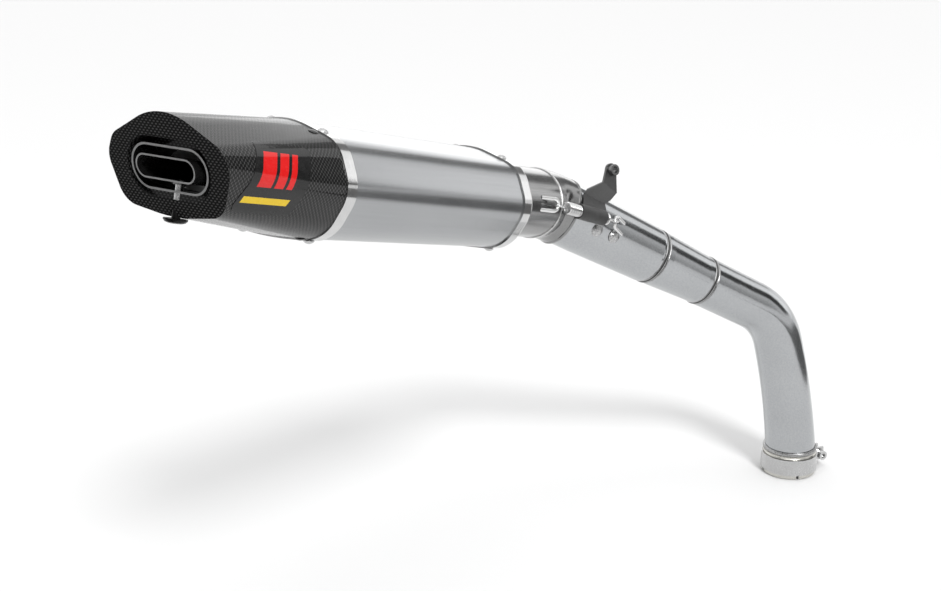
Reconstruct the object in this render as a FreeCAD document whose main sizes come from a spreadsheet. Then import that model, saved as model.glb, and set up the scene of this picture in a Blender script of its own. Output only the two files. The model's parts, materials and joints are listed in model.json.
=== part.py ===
import FreeCAD, Part
import math
import os

from FreeCAD import Placement, Rotation, Vector

# Under-seat racing exhaust: slip-on muffler on a bent link pipe.
# Frame: origin at the centre of the inlet socket's mouth, +Z up along the socket,
# +X towards the front of the machine, +Y to its left. All lengths in millimetres.

X_AXIS = Vector(1, 0, 0)
Y_AXIS = Vector(0, 1, 0)
Z_AXIS = Vector(0, 0, 1)

DIMENSIONS = {
    # link pipe centre line, in the vertical plane that all its bends lie in
    "link_plane_deg": 147.0,
    "socket_height": 26.0,
    "socket_bore_r": 27.1,
    "socket_wall": 1.5,
    "socket_slot_width": 2.6,
    "socket_slot_height": 16.0,
    "socket_slot_deg": 221.0,
    "exit_bend_deg": 8.0,
    "exit_bend_r": 90.0,
    "leg_lean_deg": 16.0,
    "leg_curve_r": 800.0,
    "leg_straight": 5.5,
    "main_bend_r": 76.0,
    "upper_lean_deg": 61.3,
    "leg_foot_r": 26.9,
    "pipe_r": 25.3,
    "pipe_wall": 1.2,
    # stations along the upper straight, measured from the end of the main bend
    "lower_joint_at": 73.0,
    "upper_joint_at": 142.0,
    "cup_mouth_at": 259.7,
    "mitre_at": 280.6,
    "joint_width": 6.0,
    "upper_joint_r": 28.2,
    "slip_end_r": 30.8,
    "slip_depth": 8.0,
    "taper_end_at": 236.0,
    # muffler
    "muffler_tilt_deg": 15.0,
    "mitre_to_band": 147.0,
    "stub_drop": 4.0,
    "stub_r": 32.4,
    "stub_wall": 1.2,
    "stub_start": 36.0,
    "seam_at": 125.0,
    "elbow_r": 40.0,
    # sleeve section: rounded hexagon, corner points and rounding radii
    "peak_up": 41.3,
    "peak_r": 70.0,
    "shoulder_out": 50.0,
    "shoulder_up": 26.9,
    "shoulder_r": 27.0,
    "crease_out": 65.6,
    "crease_up": -6.1,
    "crease_r": 27.0,
    "corner_out": 47.0,
    "corner_up": -43.25,
    "corner_r": 30.0,
    "keel_up": -46.1,
    "keel_r": 230.0,
    # the same section where the end cap has tapered, at its tail
    "tail_at": -386.0,
    "tail_peak_up": 37.4,
    "tail_peak_r": 48.0,
    "tail_shoulder_out": 46.7,
    "tail_shoulder_up": 11.7,
    "tail_shoulder_r": 12.0,
    "tail_crease_out": 52.5,
    "tail_crease_up": -0.8,
    "tail_crease_r": 14.0,
    "tail_corner_out": 42.4,
    "tail_corner_up": -28.5,
    "tail_corner_r": 13.0,
    "tail_keel_up": -34.9,
    "tail_keel_r": 120.0,
    "sleeve_wall": 1.2,
    "sleeve_rear": -252.0,
    "sleeve_front": 10.0,
    "rear_band_at": -254.0,
    "front_band_at": 0.0,
    "band_width": 11.5,
    "band_wall": 1.2,
    "cap_wall": 2.4,
    "cap_lip": 14.0,
    "cap_end_at": -369.5,
    "cap_slant_deg": 20.0,
    "outlet_drop": 5.2,
    "recess_half_width": 36.6,
    "recess_half_height": 19.8,
    "recess_depth": 9.0,
    "outlet_half_width": 34.0,
    "outlet_half_height": 15.2,
    "outlet_wall": 1.5,
    "insert_half_width": 26.2,
    "insert_half_height": 8.0,
    "insert_wall": 1.2,
    "core_r": 26.0,
    "core_wall": 1.2,
    "screw_at": -355.0,
    "screw_r": 3.0,
    "rivet_r": 4.3,
    "rivet_dome": 2.2,
    "rivet_side": 31.0,
    "rivet_far_side": 17.0,
    "badge_top": 20.5,
    "badge_bottom": -26.5,
    "badge_top_rear": -338.0,
    "badge_top_front": -286.5,
    "badge_bottom_rear": -358.0,
    "badge_bottom_front": -301.5,
    "badge_corner_r": 4.0,
    "badge_thickness": 0.4,
    # hanger
    "sheet": 2.5,
    "fold_from_axis": 21.0,
    "fold_height": 25.3,
    "flange_from_axis": 29.5,
    "flange_height": 15.3,
    "ear_bore_r": 3.2,
    "ear_r": 6.8,
    "bush_r": 5.3,
    "bush_length": 9.0,
    # spring
    "spring_wire_r": 1.1,
    "spring_r": 4.7,
    "spring_pitch": 2.9,
    "hook_r": 3.3,
    "rubber_r": 7.2,
    "rubber_start": 27.0,
    "rubber_length": 34.0,
    "lug_wire_r": 1.9,
    "lug_half_gap": 5.5,
    "muffler_lug_at": 86.0,
    "pipe_lug_at": 205.0,
    "lug_reach": 21.2,
    "pipe_lug_reach": 19.2,
    # clamp
    "clamp_bottom": 4.5,
    "clamp_height": 17.5,
    "clamp_inner_r": 28.95,
    "clamp_wall": 1.3,
    "clamp_lug_deg": -31.0,
    "clamp_gap": 7.0,
    "clamp_ear": 13.5,
    "clamp_ear_wall": 2.4,
    "bolt_radius_out": 37.0,
    "bolt_r": 3.0,
}

doc = FreeCAD.newDocument("exhaust")
sheet = doc.addObject("Spreadsheet::Sheet", "dims")
for row, (alias, number) in enumerate(DIMENSIONS.items(), start=1):
    sheet.set("A%d" % row, alias)
    sheet.set("B%d" % row, repr(number))
    sheet.setAlias("B%d" % row, alias)
doc.recompute()
D = DIMENSIONS
EXPORTS = []


def bind(obj, prop, expression):
    obj.setExpression(prop, expression)


def export(obj, name):
    obj.Label = name
    EXPORTS.append((name, obj))
    return obj


def new_body(name, placement):
    body = doc.addObject("PartDesign::Body", name + "_body")
    body.Placement = placement
    return body


def origin_plane(body, role):
    for feature in body.Origin.OriginFeatures:
        if feature.Role == role:
            return feature
    raise ValueError(role)


def new_sketch(body, name, role, geometry, offset=None):
    sketch = body.newObject("Sketcher::SketchObject", name)
    sketch.AttachmentSupport = [(origin_plane(body, role), "")]
    sketch.MapMode = "FlatFace"
    if offset is not None:
        sketch.AttachmentOffset = offset
    sketch.addGeometry(geometry, False)
    doc.recompute()
    return sketch


def closed_polygon(points):
    corners = [Vector(p[0], p[1], 0) for p in points]
    return [
        Part.LineSegment(corners[i], corners[(i + 1) % len(corners)])
        for i in range(len(corners))
    ]


def circle(radius, centre=(0, 0)):
    return Part.Circle(Vector(centre[0], centre[1], 0), Z_AXIS, radius)


def stadium(half_width, half_height, drop):
    """Top line, right end, bottom line, left end of a slot lying along the first axis."""
    flat = half_width - half_height
    centre_right = Vector(flat, -drop, 0)
    centre_left = Vector(-flat, -drop, 0)
    right = Part.ArcOfCircle(
        Part.Circle(centre_right, Z_AXIS, half_height), -math.pi / 2, math.pi / 2
    )
    left = Part.ArcOfCircle(
        Part.Circle(centre_left, Z_AXIS, half_height), math.pi / 2, 1.5 * math.pi
    )
    top = Part.LineSegment(
        Vector(flat, half_height - drop, 0), Vector(-flat, half_height - drop, 0)
    )
    bottom = Part.LineSegment(
        Vector(-flat, -half_height - drop, 0), Vector(flat, -half_height - drop, 0)
    )
    return [right, top, left, bottom]


def quartered_circle(radius, drop):
    """The same four edges as a stadium, on a circle, for a matching loft."""
    split = math.radians(60)
    centre = Vector(0, -drop, 0)
    bounds = [-split, split, math.pi - split, math.pi + split, 2 * math.pi - split]
    return [
        Part.ArcOfCircle(Part.Circle(centre, Z_AXIS, radius), bounds[i], bounds[i + 1])
        for i in range(4)
    ]


def section_corners(inset=0.0, at=""):
    """Corner points and rounding radii of the muffler section, counter-clockwise."""
    half = [(0.0, D[at + "peak_up"], D[at + "peak_r"])]
    for corner in ("shoulder", "crease", "corner"):
        key = at + corner
        half.append((-D[key + "_out"], D[key + "_up"], D[key + "_r"]))
    half.append((0.0, D[at + "keel_up"], D[at + "keel_r"]))
    mirrored = [(-y, z, r) for y, z, r in reversed(half[1:4])]
    corners = half + mirrored
    if inset == 0.0:
        return corners
    return inset_corners(corners, inset)


def inset_corners(corners, inset):
    """Move every edge inwards and intersect the neighbours again."""
    count = len(corners)
    lines = []
    for i in range(count):
        y0, z0, _ = corners[i]
        y1, z1, _ = corners[(i + 1) % count]
        length = math.hypot(y1 - y0, z1 - z0)
        dy, dz = (y1 - y0) / length, (z1 - z0) / length
        lines.append((y0 - dz * inset, z0 + dy * inset, dy, dz))
    moved = []
    for i in range(count):
        ya, za, dya, dza = lines[i - 1]
        yb, zb, dyb, dzb = lines[i]
        t = ((yb - ya) * dzb - (zb - za) * dyb) / (dya * dzb - dza * dyb)
        moved.append((ya + dya * t, za + dza * t, corners[i][2] - inset))
    return moved


def rounded_loop(corners):
    """Lines and arcs of a rounded polygon, as sketch geometry."""
    count = len(corners)
    starts, ends, arcs = [], [], []
    for i in range(count):
        y, z, radius = corners[i]
        yp, zp, _ = corners[i - 1]
        yn, zn, _ = corners[(i + 1) % count]
        back = Vector(yp - y, zp - z, 0).normalize()
        ahead = Vector(yn - y, zn - z, 0).normalize()
        half_angle = back.getAngle(ahead) / 2
        reach = radius / math.tan(half_angle)
        corner = Vector(y, z, 0)
        centre = corner + (back + ahead).normalize() * (radius / math.sin(half_angle))
        start = corner + back * reach
        end = corner + ahead * reach
        middle = centre + (corner - centre).normalize() * radius
        starts.append(start)
        ends.append(end)
        arcs.append(Part.Arc(start, middle, end))
    loop = []
    for i in range(count):
        loop.append(arcs[i])
        loop.append(Part.LineSegment(ends[i], starts[(i + 1) % count]))
    return loop


def circle_like_section(radius, drop):
    """A circle split into as many arcs as the rounded section has edges."""
    loop = []
    centre = Vector(0, -drop, 0)
    edges = rounded_loop(section_corners())
    angles = []
    for edge in edges:
        point = edge.StartPoint if hasattr(edge, "StartPoint") else edge.value(0)
        angles.append(math.atan2(point.y + drop, point.x))
    for i in range(len(angles)):
        first = angles[i]
        last = angles[(i + 1) % len(angles)]
        while last <= first:
            last += 2 * math.pi
        loop.append(Part.ArcOfCircle(Part.Circle(centre, Z_AXIS, radius), first, last))
    return loop


# ---------------------------------------------------------------- placements
LINK = Placement(Vector(0, 0, 0), Rotation(Z_AXIS, D["link_plane_deg"]))


def bend_geometry():
    """Key points of the link pipe's centre line, as (out, up) in its plane."""
    first = math.radians(D["exit_bend_deg"])
    second = math.radians(D["leg_lean_deg"])
    third = math.radians(D["upper_lean_deg"])

    def arc(start, angle0, angle1, radius):
        out = start[0] + radius * (math.cos(angle0) - math.cos(angle1))
        up = start[1] + radius * (math.sin(angle1) - math.sin(angle0))
        middle_angle = (angle0 + angle1) / 2
        middle = (
            start[0] + radius * (math.cos(angle0) - math.cos(middle_angle)),
            start[1] + radius * (math.sin(middle_angle) - math.sin(angle0)),
        )
        return middle, (out, up)

    foot = (0.0, D["socket_height"])
    middle1, point1 = arc(foot, 0.0, first, D["exit_bend_r"])
    middle2, point2 = arc(point1, first, second, D["leg_curve_r"])
    point3 = (
        point2[0] + D["leg_straight"] * math.sin(second),
        point2[1] + D["leg_straight"] * math.cos(second),
    )
    middle4, point4 = arc(point3, second, third, D["main_bend_r"])
    return foot, middle1, point1, middle2, point2, point3, middle4, point4


PATH = bend_geometry()
BEND_END = PATH[-1]


def on_upper_axis(station):
    """Placement on the upper straight: local Z runs up the pipe towards the muffler."""
    lean = math.radians(D["upper_lean_deg"])
    out = BEND_END[0] + station * math.sin(lean)
    up = BEND_END[1] + station * math.cos(lean)
    return LINK * Placement(Vector(out, 0, up), Rotation(Y_AXIS, D["upper_lean_deg"]))


UPPER = on_upper_axis(0.0)
MITRE = on_upper_axis(D["mitre_at"]).Base
LINK_DIR = UPPER.Rotation.multVec(Z_AXIS)
MUFFLER_ROT = Rotation(Y_AXIS, D["muffler_tilt_deg"])
MUFFLER_AXIS = MUFFLER_ROT.multVec(X_AXIS)
MUFFLER_UP = MUFFLER_ROT.multVec(Z_AXIS)
MUFFLER = Placement(
    MITRE - MUFFLER_AXIS * D["mitre_to_band"] + MUFFLER_UP * D["stub_drop"], MUFFLER_ROT
)


# ---------------------------------------------------------------- small builders
def revolved(name, placement, profile):
    """A ring of revolution about local Z from a closed (radius, height) profile."""
    body = new_body(name, placement)
    sketch = new_sketch(body, name + "_profile", "XZ_Plane", closed_polygon(profile))
    turn = body.newObject("PartDesign::Revolution", name + "_turn")
    turn.Profile = sketch
    turn.ReferenceAxis = (sketch, ["V_Axis"])
    turn.Angle = 360.0
    body.Tip = turn
    doc.recompute()
    return body


def section_pad(name, start, length_expression, outer_inset, inner_inset=None, hole=None):
    """A length of the muffler section, optionally hollow or with a round hole."""
    body = new_body(name, MUFFLER)
    geometry = rounded_loop(section_corners(inset=outer_inset))
    if inner_inset is not None:
        geometry += rounded_loop(section_corners(inset=inner_inset))
    if hole is not None:
        geometry.append(circle(hole, (0, -D["stub_drop"])))
    offset = Placement(Vector(0, 0, start), Rotation())
    sketch = new_sketch(body, name + "_section", "YZ_Plane", geometry, offset)
    pad = body.newObject("PartDesign::Pad", name + "_pad")
    pad.Profile = sketch
    bind(pad, "Length", length_expression)
    body.Tip = pad
    doc.recompute()
    return body


def loft_solid(name, placement, sections):
    """A solid lofted through (station, loop) pairs standing across local X."""
    body = new_body(name, placement)
    sketches = []
    for i, (station, loop) in enumerate(sections):
        offset = Placement(Vector(0, 0, station), Rotation())
        sketches.append(new_sketch(body, "%s_s%d" % (name, i), "YZ_Plane", loop, offset))
    loft = body.newObject("PartDesign::AdditiveLoft", name + "_loft")
    loft.Profile = sketches[0]
    loft.Sections = sketches[1:]
    body.Tip = loft
    doc.recompute()
    return body


def cut(name, base, tool):
    result = doc.addObject("Part::Cut", name)
    result.Base = base
    result.Tool = tool
    doc.recompute()
    return result


def fuse(name, shapes):
    result = doc.addObject("Part::MultiFuse", name)
    result.Shapes = shapes
    doc.recompute()
    return result


def common(name, shapes):
    result = doc.addObject("Part::MultiCommon", name)
    result.Shapes = shapes
    doc.recompute()
    return result


def cylinder(name, radius, height, placement):
    tube = doc.addObject("Part::Cylinder", name)
    for prop, size in (("Radius", radius), ("Height", height)):
        if isinstance(size, str):
            bind(tube, prop, size)
        else:
            setattr(tube, prop, size)
    tube.Placement = placement
    return tube


def box(name, length, width, height, placement):
    block = doc.addObject("Part::Box", name)
    block.Length = length
    block.Width = width
    block.Height = height
    block.Placement = placement
    return block


def feature(name, shape, placement=None):
    part = doc.addObject("Part::Feature", name)
    part.Shape = shape
    if placement is not None:
        part.Placement = placement
    return part


# ---------------------------------------------------------------- inlet socket
def make_inlet_socket():
    bore = D["socket_bore_r"]
    outer = bore + D["socket_wall"]
    top = D["socket_height"]
    profile = [
        (bore, 0.0),
        (outer - 0.3, 0.0),
        (outer, 0.4),
        (outer, top - 3.0),
        (outer - 0.7, top - 2.2),
        (outer - 0.7, top - 1.2),
        (outer, top - 0.4),
        (outer, top),
        (bore - 1.6, top),
        (bore - 1.6, top - 1.5),
        (bore, top - 3.0),
    ]
    body = revolved("inlet_socket", Placement(), profile)
    slots = new_sketch(
        body,
        "socket_slots",
        "XY_Plane",
        closed_polygon(
            [
                (0, -D["socket_slot_width"] / 2),
                (outer + 3, -D["socket_slot_width"] / 2),
                (outer + 3, D["socket_slot_width"] / 2),
                (0, D["socket_slot_width"] / 2),
            ]
        ),
        Placement(Vector(0, 0, 0), Rotation(Z_AXIS, D["socket_slot_deg"])),
    )
    pocket = body.newObject("PartDesign::Pocket", "socket_slot")
    pocket.Profile = slots
    bind(pocket, "Length", "dims.socket_slot_height")
    pocket.Reversed = True
    body.Tip = pocket
    doc.recompute()
    pattern = body.newObject("PartDesign::PolarPattern", "socket_slot_ring")
    pattern.Originals = [pocket]
    pattern.Axis = (slots, ["N_Axis"])
    pattern.Angle = 360.0
    pattern.Occurrences = 4
    body.Tip = pattern
    doc.recompute()
    export(body, "inlet_socket")


def make_socket_weld():
    centre = D["socket_height"] + 1.0
    inner = D["leg_foot_r"]
    profile = []
    for step in range(9):
        angle = math.radians(-90 + 180 * step / 8)
        radius = inner + 1.0 + 1.2 * math.cos(angle)
        profile.append((radius, centre + 1.0 + 2.0 * math.sin(angle)))
    profile.append((inner + 0.05, centre + 3.0))
    profile.append((inner + 0.05, centre - 1.0))
    export(revolved("socket_weld", Placement(), profile), "socket_weld")


# ---------------------------------------------------------------- link pipe
def path_edges():
    foot, middle1, point1, middle2, point2, point3, middle4, point4 = [
        Vector(p[0], p[1], 0) for p in PATH
    ]
    lean = math.radians(D["upper_lean_deg"])
    reach = D["lower_joint_at"] - D["joint_width"] / 2
    end = point4 + Vector(math.sin(lean), math.cos(lean), 0) * reach
    return [
        Part.Arc(foot, middle1, point1),
        Part.Arc(point1, middle2, point2),
        Part.LineSegment(point2, point3),
        Part.Arc(point3, middle4, point4),
        Part.LineSegment(point4, end),
    ]


def make_lower_pipe():
    """Leg and main bend: one tube, opened out towards its foot."""
    edges = [edge.toShape() for edge in path_edges()]
    wire = Part.Wire(edges)
    wire.rotate(Vector(0, 0, 0), X_AXIS, 90)
    foot, _, point1, _, point2, point3, _, point4 = PATH
    leg = math.radians(D["leg_lean_deg"])
    upper = math.radians(D["upper_lean_deg"])
    end = wire.Edges[-1].Vertexes[-1].Point
    stations = [
        (Vector(foot[0], 0, foot[1]), Z_AXIS, D["leg_foot_r"]),
        (Vector(point2[0], 0, point2[1]), Vector(math.sin(leg), 0, math.cos(leg)), D["pipe_r"]),
        (end, Vector(math.sin(upper), 0, math.cos(upper)), D["pipe_r"]),
    ]

    def swept(shrink):
        shell = Part.BRepOffsetAPI.MakePipeShell(wire)
        for base, direction, radius in stations:
            ring = Part.Wire([Part.makeCircle(radius - shrink, base, direction)])
            shell.add(ring, False, False)
        shell.setTransitionMode(0)
        shell.build()
        shell.makeSolid()
        return shell.shape()

    tube = swept(0.0).cut(swept(D["pipe_wall"]))
    export(feature("link_pipe_lower", tube, LINK), "link_pipe_lower")


def make_ring_joint(name, station, radius):
    """Butt weld between two tubes: a raised bead between two shallow grooves."""
    half = D["joint_width"] / 2
    profile = [
        (radius - D["pipe_wall"], -half),
        (radius - 0.25, -half),
        (radius + 0.2, -half + 0.5),
        (radius - 0.35, -half + 1.2),
        (radius + 0.35, -half + 1.9),
        (radius + 0.55, 0.0),
        (radius + 0.35, half - 1.9),
        (radius - 0.35, half - 1.2),
        (radius + 0.2, half - 0.5),
        (radius - 0.25, half),
        (radius - D["pipe_wall"], half),
    ]
    export(revolved(name, on_upper_axis(station), profile), name)


def make_centre_pipe():
    start = D["joint_width"] / 2
    length = D["upper_joint_at"] - D["lower_joint_at"] - D["joint_width"]
    low, high, wall = D["pipe_r"], D["upper_joint_r"] - 0.6, D["pipe_wall"]
    profile = [
        (low - wall, start),
        (low, start),
        (low, start + 6.0),
        (high, start + length - 6.0),
        (high, start + length),
        (high - wall, start + length),
        (high - wall, start + length - 6.0),
        (low - wall, start + 6.0),
    ]
    body = revolved("link_pipe_centre", on_upper_axis(D["lower_joint_at"]), profile)
    export(body, "link_pipe_centre")


def make_upper_pipe():
    start = D["joint_width"] / 2
    base = D["upper_joint_at"]
    taper_end = D["taper_end_at"] - base
    tip = D["cup_mouth_at"] + D["slip_depth"] - base
    low, high, wall = D["upper_joint_r"], D["slip_end_r"], D["pipe_wall"]
    profile = [
        (low - wall - 0.4, start),
        (low - 0.4, start),
        (low, start + 1.0),
        (low + 0.3, start + 3.0),
        (high, taper_end),
        (high, tip - 1.5),
        (high - 0.8, tip),
        (high - wall, tip),
        (high - wall, taper_end),
        (low - wall, start + 3.0),
    ]
    export(revolved("link_pipe_upper", on_upper_axis(base), profile), "link_pipe_upper")


make_inlet_socket()
make_socket_weld()
make_lower_pipe()
make_ring_joint("ring_joint_lower", D["lower_joint_at"], D["pipe_r"])
make_centre_pipe()
make_ring_joint("ring_joint_upper", D["upper_joint_at"], D["upper_joint_r"] - 0.4)
make_upper_pipe()


# ---------------------------------------------------------------- slip cup and stub
def bead(name, placement, radius, half_width):
    """Rounded weld bead round a tube, standing on its surface."""
    profile = []
    for step in range(9):
        angle = math.radians(-90 + 180 * step / 8)
        out = radius + 0.2 + 0.8 * half_width * math.cos(angle)
        profile.append((out, half_width * (1 + math.sin(angle))))
    profile.append((radius, 2 * half_width))
    profile.append((radius, 0.0))
    return export(revolved(name, placement, profile), name)


def on_stub_axis(station):
    base = Vector(station, 0, -D["stub_drop"])
    return MUFFLER * Placement(base, Rotation(Z_AXIS, X_AXIS))


def make_elbow_and_stub():
    """Straight stub on the muffler, then a short elbow whose mouth is the slip joint."""
    outer = D["stub_r"]
    inner = outer - D["stub_wall"]
    half_turn = LINK_DIR.getAngle(MUFFLER_AXIS * -1) / 2
    tangent = D["elbow_r"] * math.tan(half_turn)
    seam = on_stub_axis(D["seam_at"]).Base
    bend_in = MITRE - MUFFLER_AXIS * tangent
    bend_out = MITRE - LINK_DIR * tangent
    inside = (MUFFLER_AXIS * -1 - LINK_DIR).normalize()
    middle = MITRE + inside * (D["elbow_r"] / math.cos(half_turn) - D["elbow_r"])
    mouth = on_upper_axis(D["cup_mouth_at"])
    spine = Part.Wire(
        [
            Part.LineSegment(seam, bend_in).toShape(),
            Part.Arc(bend_in, middle, bend_out).toShape(),
            Part.LineSegment(bend_out, mouth.Base).toShape(),
        ]
    )

    def swept(name, radius):
        ring = Part.Wire([Part.makeCircle(radius, seam, MUFFLER_AXIS)])
        return feature(name, spine.makePipeShell([ring], True, False))

    rim_profile = [
        (outer - 0.4, 0.0),
        (outer + 0.5, 0.0),
        (outer + 0.8, 1.2),
        (outer + 0.5, 2.4),
        (outer - 0.4, 3.2),
    ]
    rim = revolved("elbow_rim", mouth, rim_profile)
    skin = fuse("elbow_skin", [swept("elbow_outer", outer), rim])
    export(cut("inlet_elbow_cut", skin, swept("elbow_inner", inner)), "inlet_elbow")

    start = D["stub_start"]
    run = D["seam_at"] - start
    tube = cylinder("stub_outer", "dims.stub_r", run, on_stub_axis(start))
    hole = cylinder("stub_inner", "dims.stub_r - dims.stub_wall", run, on_stub_axis(start))
    export(cut("inlet_stub_cut", tube, hole), "inlet_stub")
    bead("elbow_weld", on_stub_axis(D["seam_at"] - 1.1), outer, 1.1)


make_elbow_and_stub()


# ---------------------------------------------------------------- muffler shell
def make_muffler_shell():
    wall = D["sleeve_wall"]
    export(
        section_pad(
            "muffler_sleeve",
            D["sleeve_rear"],
            "dims.sleeve_front - dims.sleeve_rear",
            0.0,
            wall,
        ),
        "muffler_sleeve",
    )
    for name, start in (("rear_band", D["rear_band_at"]), ("front_band", D["front_band_at"])):
        band = section_pad(name, start, "dims.band_width", -D["band_wall"], 0.0)
        export(band, name)
    export(
        section_pad("front_baffle", -4.0, "dims.sleeve_wall * 1.5", wall, None, D["core_r"]),
        "front_baffle",
    )
    export(
        section_pad("rear_baffle", -236.0, "dims.sleeve_wall * 1.5", wall, None, D["core_r"]),
        "rear_baffle",
    )
    export(
        section_pad("packing", -234.0, "229.8", wall, None, D["core_r"]), "packing"
    )


def make_front_cap():
    """Formed end: a short skirt in the sleeve, a rolled edge, then a cone to the stub."""
    wall = D["sleeve_wall"]
    drop = D["stub_drop"]
    edge = D["front_band_at"] + D["band_width"]
    outer = loft_solid(
        "front_cap_outer",
        MUFFLER,
        [
            (edge, rounded_loop(section_corners(inset=-0.9))),
            (edge + 4.5, rounded_loop(section_corners(inset=0.6))),
            (edge + 8.0, rounded_loop(section_corners(inset=5.0))),
        ],
    )
    cone = loft_solid(
        "front_cap_cone",
        MUFFLER,
        [
            (edge + 8.0, rounded_loop(section_corners(inset=5.0))),
            (D["stub_start"] + 4.0, circle_like_section(D["stub_r"] + 1.6, drop)),
        ],
    )
    hollow_rim = loft_solid(
        "front_cap_inner",
        MUFFLER,
        [
            (edge - 1.0, rounded_loop(section_corners(inset=wall + 1.2))),
            (edge + 5.0, rounded_loop(section_corners(inset=wall + 2.4))),
            (edge + 7.0, rounded_loop(section_corners(inset=6.2))),
        ],
    )
    hollow_cone = loft_solid(
        "front_cap_cone_inner",
        MUFFLER,
        [
            (edge + 6.9, rounded_loop(section_corners(inset=6.2))),
            (D["stub_start"] + 4.0, circle_like_section(D["stub_r"] - 0.6, drop)),
        ],
    )
    skirt = section_pad("front_cap_skirt", 2.0, "dims.band_width - 2", wall, wall + 1.2)
    skin = fuse("front_cap_skin", [outer, cone])
    void = fuse("front_cap_void", [hollow_rim, hollow_cone])
    shell = cut("front_cap_shell", skin, void)
    whole = fuse("front_cap_whole", [shell, skirt])
    base = MUFFLER * Placement(Vector(20, 0, -drop), Rotation(Z_AXIS, X_AXIS))
    bore = cylinder("front_cap_bore", "dims.stub_r", 60, base)
    export(cut("front_cap_cut", whole, bore), "front_cap")

    bead("stub_weld", on_stub_axis(D["stub_start"] + 4.2), D["stub_r"], 1.8)


def slanted_plane_cut(name, body, shift):
    """Remove everything behind the slanted end plane, moved forward by shift."""
    slant = math.tan(math.radians(D["cap_slant_deg"]))
    high, low, far = 90.0, -90.0, -520.0
    end = D["cap_end_at"] + shift
    outline = closed_polygon(
        [(end - high * slant, high), (end - low * slant, low), (far, low), (far, high)]
    )
    sketch = new_sketch(body, name, "XZ_Plane", outline)
    pocket = body.newObject("PartDesign::Pocket", name + "_pocket")
    pocket.Profile = sketch
    pocket.Type = "ThroughAll"
    pocket.Midplane = True
    body.Tip = pocket
    doc.recompute()


def stadium_pad(name, half_width, half_height, start, length):
    """A block with the outlet's slot section, running along the muffler."""
    body = new_body(name, MUFFLER)
    loop = stadium(half_width, half_height, D["outlet_drop"])
    offset = Placement(Vector(0, 0, start), Rotation())
    sketch = new_sketch(body, name + "_slot", "YZ_Plane", loop, offset)
    pad = body.newObject("PartDesign::Pad", name + "_pad")
    pad.Profile = sketch
    pad.Length = length
    body.Tip = pad
    doc.recompute()
    return body


def make_end_cap():
    wall = D["cap_wall"]
    front = D["rear_band_at"]

    def sections(inset, start):
        full = rounded_loop(section_corners(inset))
        end = rounded_loop(section_corners(inset, "tail_"))
        return [(start, full), (D["tail_at"], end)]

    outer = loft_solid("end_cap_outer", MUFFLER, sections(-0.4, front))
    slanted_plane_cut("end_cap_slant", outer, 0.0)
    inner = loft_solid("end_cap_inner", MUFFLER, sections(wall, front + 0.2))
    slanted_plane_cut("end_cap_inner_slant", inner, 3.0)
    lip_start = front - 1.0
    lip = section_pad("end_cap_lip", lip_start, "dims.cap_lip", D["sleeve_wall"] + 0.05, wall + 1.2)

    cup_end = D["cap_end_at"] + D["recess_depth"] + 4.0
    block = stadium_pad(
        "recess_block",
        D["recess_half_width"] + 2.0,
        D["recess_half_height"] + 2.0,
        cup_end - 60.0,
        62.0,
    )
    slanted_plane_cut("recess_block_slant", block, 1.0)
    pocket = stadium_pad(
        "recess_pocket", D["recess_half_width"], D["recess_half_height"], cup_end - 62.0, 62.0
    )
    tube_hole = stadium_pad(
        "recess_hole", D["outlet_half_width"], D["outlet_half_height"], cup_end - 62.0, 80.0
    )
    shell = cut("end_cap_shell", outer, inner)
    with_cup = fuse("end_cap_with_cup", [shell, block, lip])
    pocketed = cut("end_cap_pocketed", with_cup, pocket)
    bored = cut("end_cap_bored", pocketed, tube_hole)
    screw_hole = cylinder(
        "end_cap_screw_hole",
        "dims.screw_r + 0.2",
        60,
        MUFFLER * Placement(Vector(D["screw_at"], 0, -70), Rotation()),
    )
    export(cut("end_cap_cut", bored, screw_hole), "end_cap")

    # a thin rounded badge on the cap's right-hand side, bent over its crease
    skin = loft_solid("badge_skin", MUFFLER, sections(-0.4 - D["badge_thickness"], front))
    body = new_body("badge_outline", MUFFLER)
    corners = []
    for side, end in (("bottom", "rear"), ("bottom", "front"), ("top", "front"), ("top", "rear")):
        along = D["badge_%s_%s" % (side, end)]
        corners.append((along, D["badge_" + side], D["badge_corner_r"]))
    outline = rounded_loop(corners)
    sketch = new_sketch(body, "badge_sketch", "XZ_Plane", outline)
    pad = body.newObject("PartDesign::Pad", "badge_pad")
    pad.Profile = sketch
    pad.Length = 90
    body.Tip = pad
    doc.recompute()
    patch = common("badge_patch", [skin, body])
    export(cut("badge_cut", patch, outer), "cap_badge")


def make_outlet():
    """Round-to-slot outlet tube, ending parallel to the slanted cap face."""
    drop = D["outlet_drop"]
    core_r = D["core_r"]
    wall = D["outlet_wall"]

    def solid(name, shrink):
        half_w = D["outlet_half_width"] - shrink
        half_h = D["outlet_half_height"] - shrink
        change = loft_solid(
            name + "_change",
            MUFFLER,
            [
                (-290.0, quartered_circle(core_r - shrink, D["stub_drop"])),
                (-335.0, stadium(half_w, half_h, drop)),
            ],
        )
        straight = stadium_pad(name + "_straight", half_w, half_h, -400.0, 65.0)
        slanted_plane_cut(name + "_slant", straight, 1.0)
        return fuse(name, [change, straight])

    outer = solid("outlet_outer", 0.0)
    inner = solid("outlet_inner", wall)
    tube = cut("outlet_tube_open", outer, inner)
    screw_hole = cylinder(
        "outlet_screw_hole",
        "dims.screw_r + 0.2",
        26,
        MUFFLER * Placement(Vector(D["screw_at"], 0, -40), Rotation()),
    )
    export(cut("outlet_tube_cut", tube, screw_hole), "outlet_tube")


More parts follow.
